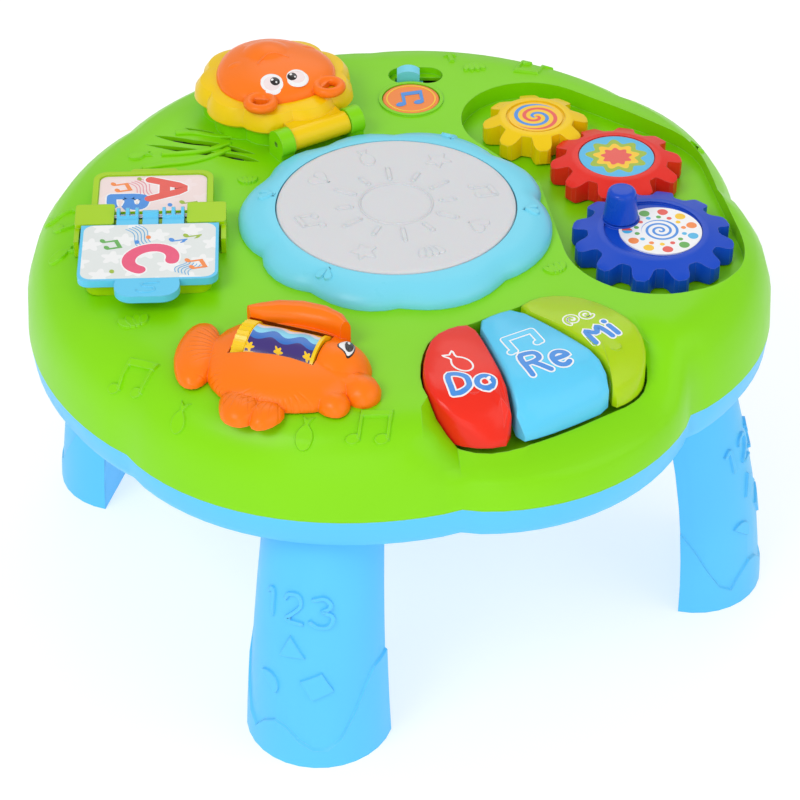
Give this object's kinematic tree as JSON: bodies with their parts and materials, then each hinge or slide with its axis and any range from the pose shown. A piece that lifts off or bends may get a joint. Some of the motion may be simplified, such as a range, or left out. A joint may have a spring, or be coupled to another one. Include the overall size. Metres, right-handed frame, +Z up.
{
  "type": "musical activity table",
  "caption": "Four-legged children's play table with a drum pad, crank-driven gears, keys, a hinged face lid, a page that turns, a roller and a slide switch.",
  "frame": {"origin": "on the floor, at the middle of the four feet", "axes": "+Z up; +Y towards the back, where the face lid and the slide switch are; +X to the right, where the gears are"},
  "size_m": [0.3876, 0.3876, 0.2315],
  "materials": {
    "shell_green": "glossy moulded",
    "base_blue": "glossy moulded",
    "rim_cyan": "glossy moulded",
    "head_white": "satin, slightly translucent",
    "gear_blue": "glossy moulded",
    "gear_red": "glossy moulded",
    "gear_yellow": "glossy moulded",
    "label_white": "printed sticker",
    "label_cyan": "printed sticker",
    "label_orange": "printed sticker",
    "key_red": "glossy moulded",
    "key_cyan": "glossy moulded",
    "key_lime": "glossy moulded",
    "book_lime": "glossy moulded",
    "page_blue": "glossy moulded",
    "fish_orange": "glossy moulded",
    "face_orange": "glossy moulded",
    "roller_yellow": "glossy moulded",
    "steel": "plain",
    "dark_plastic": "matt",
    "rubber": "matt",
    "board": "solder mask",
    "cell": "printed sleeve"
  },
  "bodies": {
    "shell": {"top_shell": "shell_green", "lower_shell": "base_blue", "leg_front": "base_blue", "leg_right": "base_blue", "leg_back": "base_blue", "leg_left": "base_blue", "drum_rim": "rim_cyan", "drum_springs": "steel", "drum_switch": "rubber", "gear_screws": "steel", "key_pins": "steel", "key_pad_red": "rubber", "key_pad_blue": "rubber", "key_pad_lime": "rubber", "lid_pin": "steel", "book_tray": "book_lime", "book_pin": "steel", "fish_body": "fish_orange", "roller_axle": "steel", "slide_switch": "dark_plastic", "badge": "face_orange", "circuit_board": "board", "board_screws": "steel", "speaker": "dark_plastic", "batteries": "cell", "battery_contacts": "steel", "battery_door": "base_blue", "door_screw": "steel", "shell_screws": "steel"},
    "head": {"drum_head": "head_white"},
    "crank_gear": {"gear_blue": "gear_blue", "label_blue": "label_white", "crank_pin": "steel"},
    "knob": {"crank_knob": "gear_blue"},
    "mid_gear": {"gear_red": "gear_red", "label_red": "label_cyan"},
    "small_gear": {"gear_yellow": "gear_yellow", "label_yellow": "label_orange"},
    "red_key": {"key_red": "key_red"},
    "blue_key": {"key_blue": "key_cyan"},
    "lime_key": {"key_lime": "key_lime"},
    "lid": {"lid_mane": "gear_yellow", "lid_face": "face_orange"},
    "page": {"book_page": "page_blue"},
    "roller": {"fish_roller": "roller_yellow"},
    "slider": {"switch_slider": "rim_cyan"}
  },
  "joints": [
    {"name": "drum_press", "type": "slide", "parent": "shell", "child": "head", "axis": [0, 0, -1], "range_m": [0, 0.0025], "stiffness_N_per_m": 1200, "springref_m": -0.002, "deforming": ["drum_springs"]},
    {"name": "crank_turn", "type": "hinge", "parent": "shell", "child": "crank_gear", "pos_m": [0.1265, -0.0135, 0.1955], "axis": [0, 0, 1], "continuous": true},
    {"name": "knob_spin", "type": "hinge", "parent": "crank_gear", "child": "knob", "pos_m": [0.1105, -0.0035, 0.21], "axis": [0, 0, 1], "continuous": true},
    {"name": "mid_turn", "type": "hinge", "parent": "shell", "child": "mid_gear", "pos_m": [0.11238, 0.05468, 0.1955], "axis": [0, 0, 1], "continuous": true},
    {"name": "small_turn", "type": "hinge", "parent": "shell", "child": "small_gear", "pos_m": [0.0714, 0.09426, 0.1955], "axis": [0, 0, 1], "continuous": true},
    {"name": "red_key_press", "type": "hinge", "parent": "shell", "child": "red_key", "pos_m": [0.0265, -0.104, 0.183], "axis": [0.9877, 0.1564, 0], "range_deg": [0, 3], "stiffness_Nm_per_rad": 2, "springref_deg": -1.15, "deforming": ["key_pad_red"]},
    {"name": "blue_key_press", "type": "hinge", "parent": "shell", "child": "blue_key", "pos_m": [0.0507, -0.09, 0.183], "axis": [0.829, 0.5592, 0], "range_deg": [0, 3], "stiffness_Nm_per_rad": 2, "springref_deg": -1.15, "deforming": ["key_pad_blue"]},
    {"name": "lime_key_press", "type": "hinge", "parent": "shell", "child": "lime_key", "pos_m": [0.0758, -0.0782, 0.183], "axis": [0.7771, 0.6293, 0], "range_deg": [0, 3], "stiffness_Nm_per_rad": 2, "springref_deg": -1.15, "deforming": ["key_pad_lime"]},
    {"name": "lid_hinge", "type": "hinge", "parent": "shell", "child": "lid", "pos_m": [-0.04534, 0.07133, 0.207], "axis": [0.848, 0.5299, 0], "range_deg": [0, 95]},
    {"name": "page_turn", "type": "hinge", "parent": "shell", "child": "page", "pos_m": [-0.1275, -0.01, 0.207], "axis": [-0.999, -0.0436, 0], "range_deg": [0, 178]},
    {"name": "roller_spin", "type": "hinge", "parent": "shell", "child": "roller", "pos_m": [-0.058, -0.118, 0.195], "axis": [0.9426, -0.3338, 0], "continuous": true},
    {"name": "switch_slide", "type": "slide", "parent": "shell", "child": "slider", "axis": [1, 0, 0], "range_m": [0, 0.011]}
  ],
  "couplings": [
    {"joint": "mid_turn", "follows": "crank_turn", "ratio": -1.2},
    {"joint": "small_turn", "follows": "crank_turn", "ratio": 1.5}
  ]
}
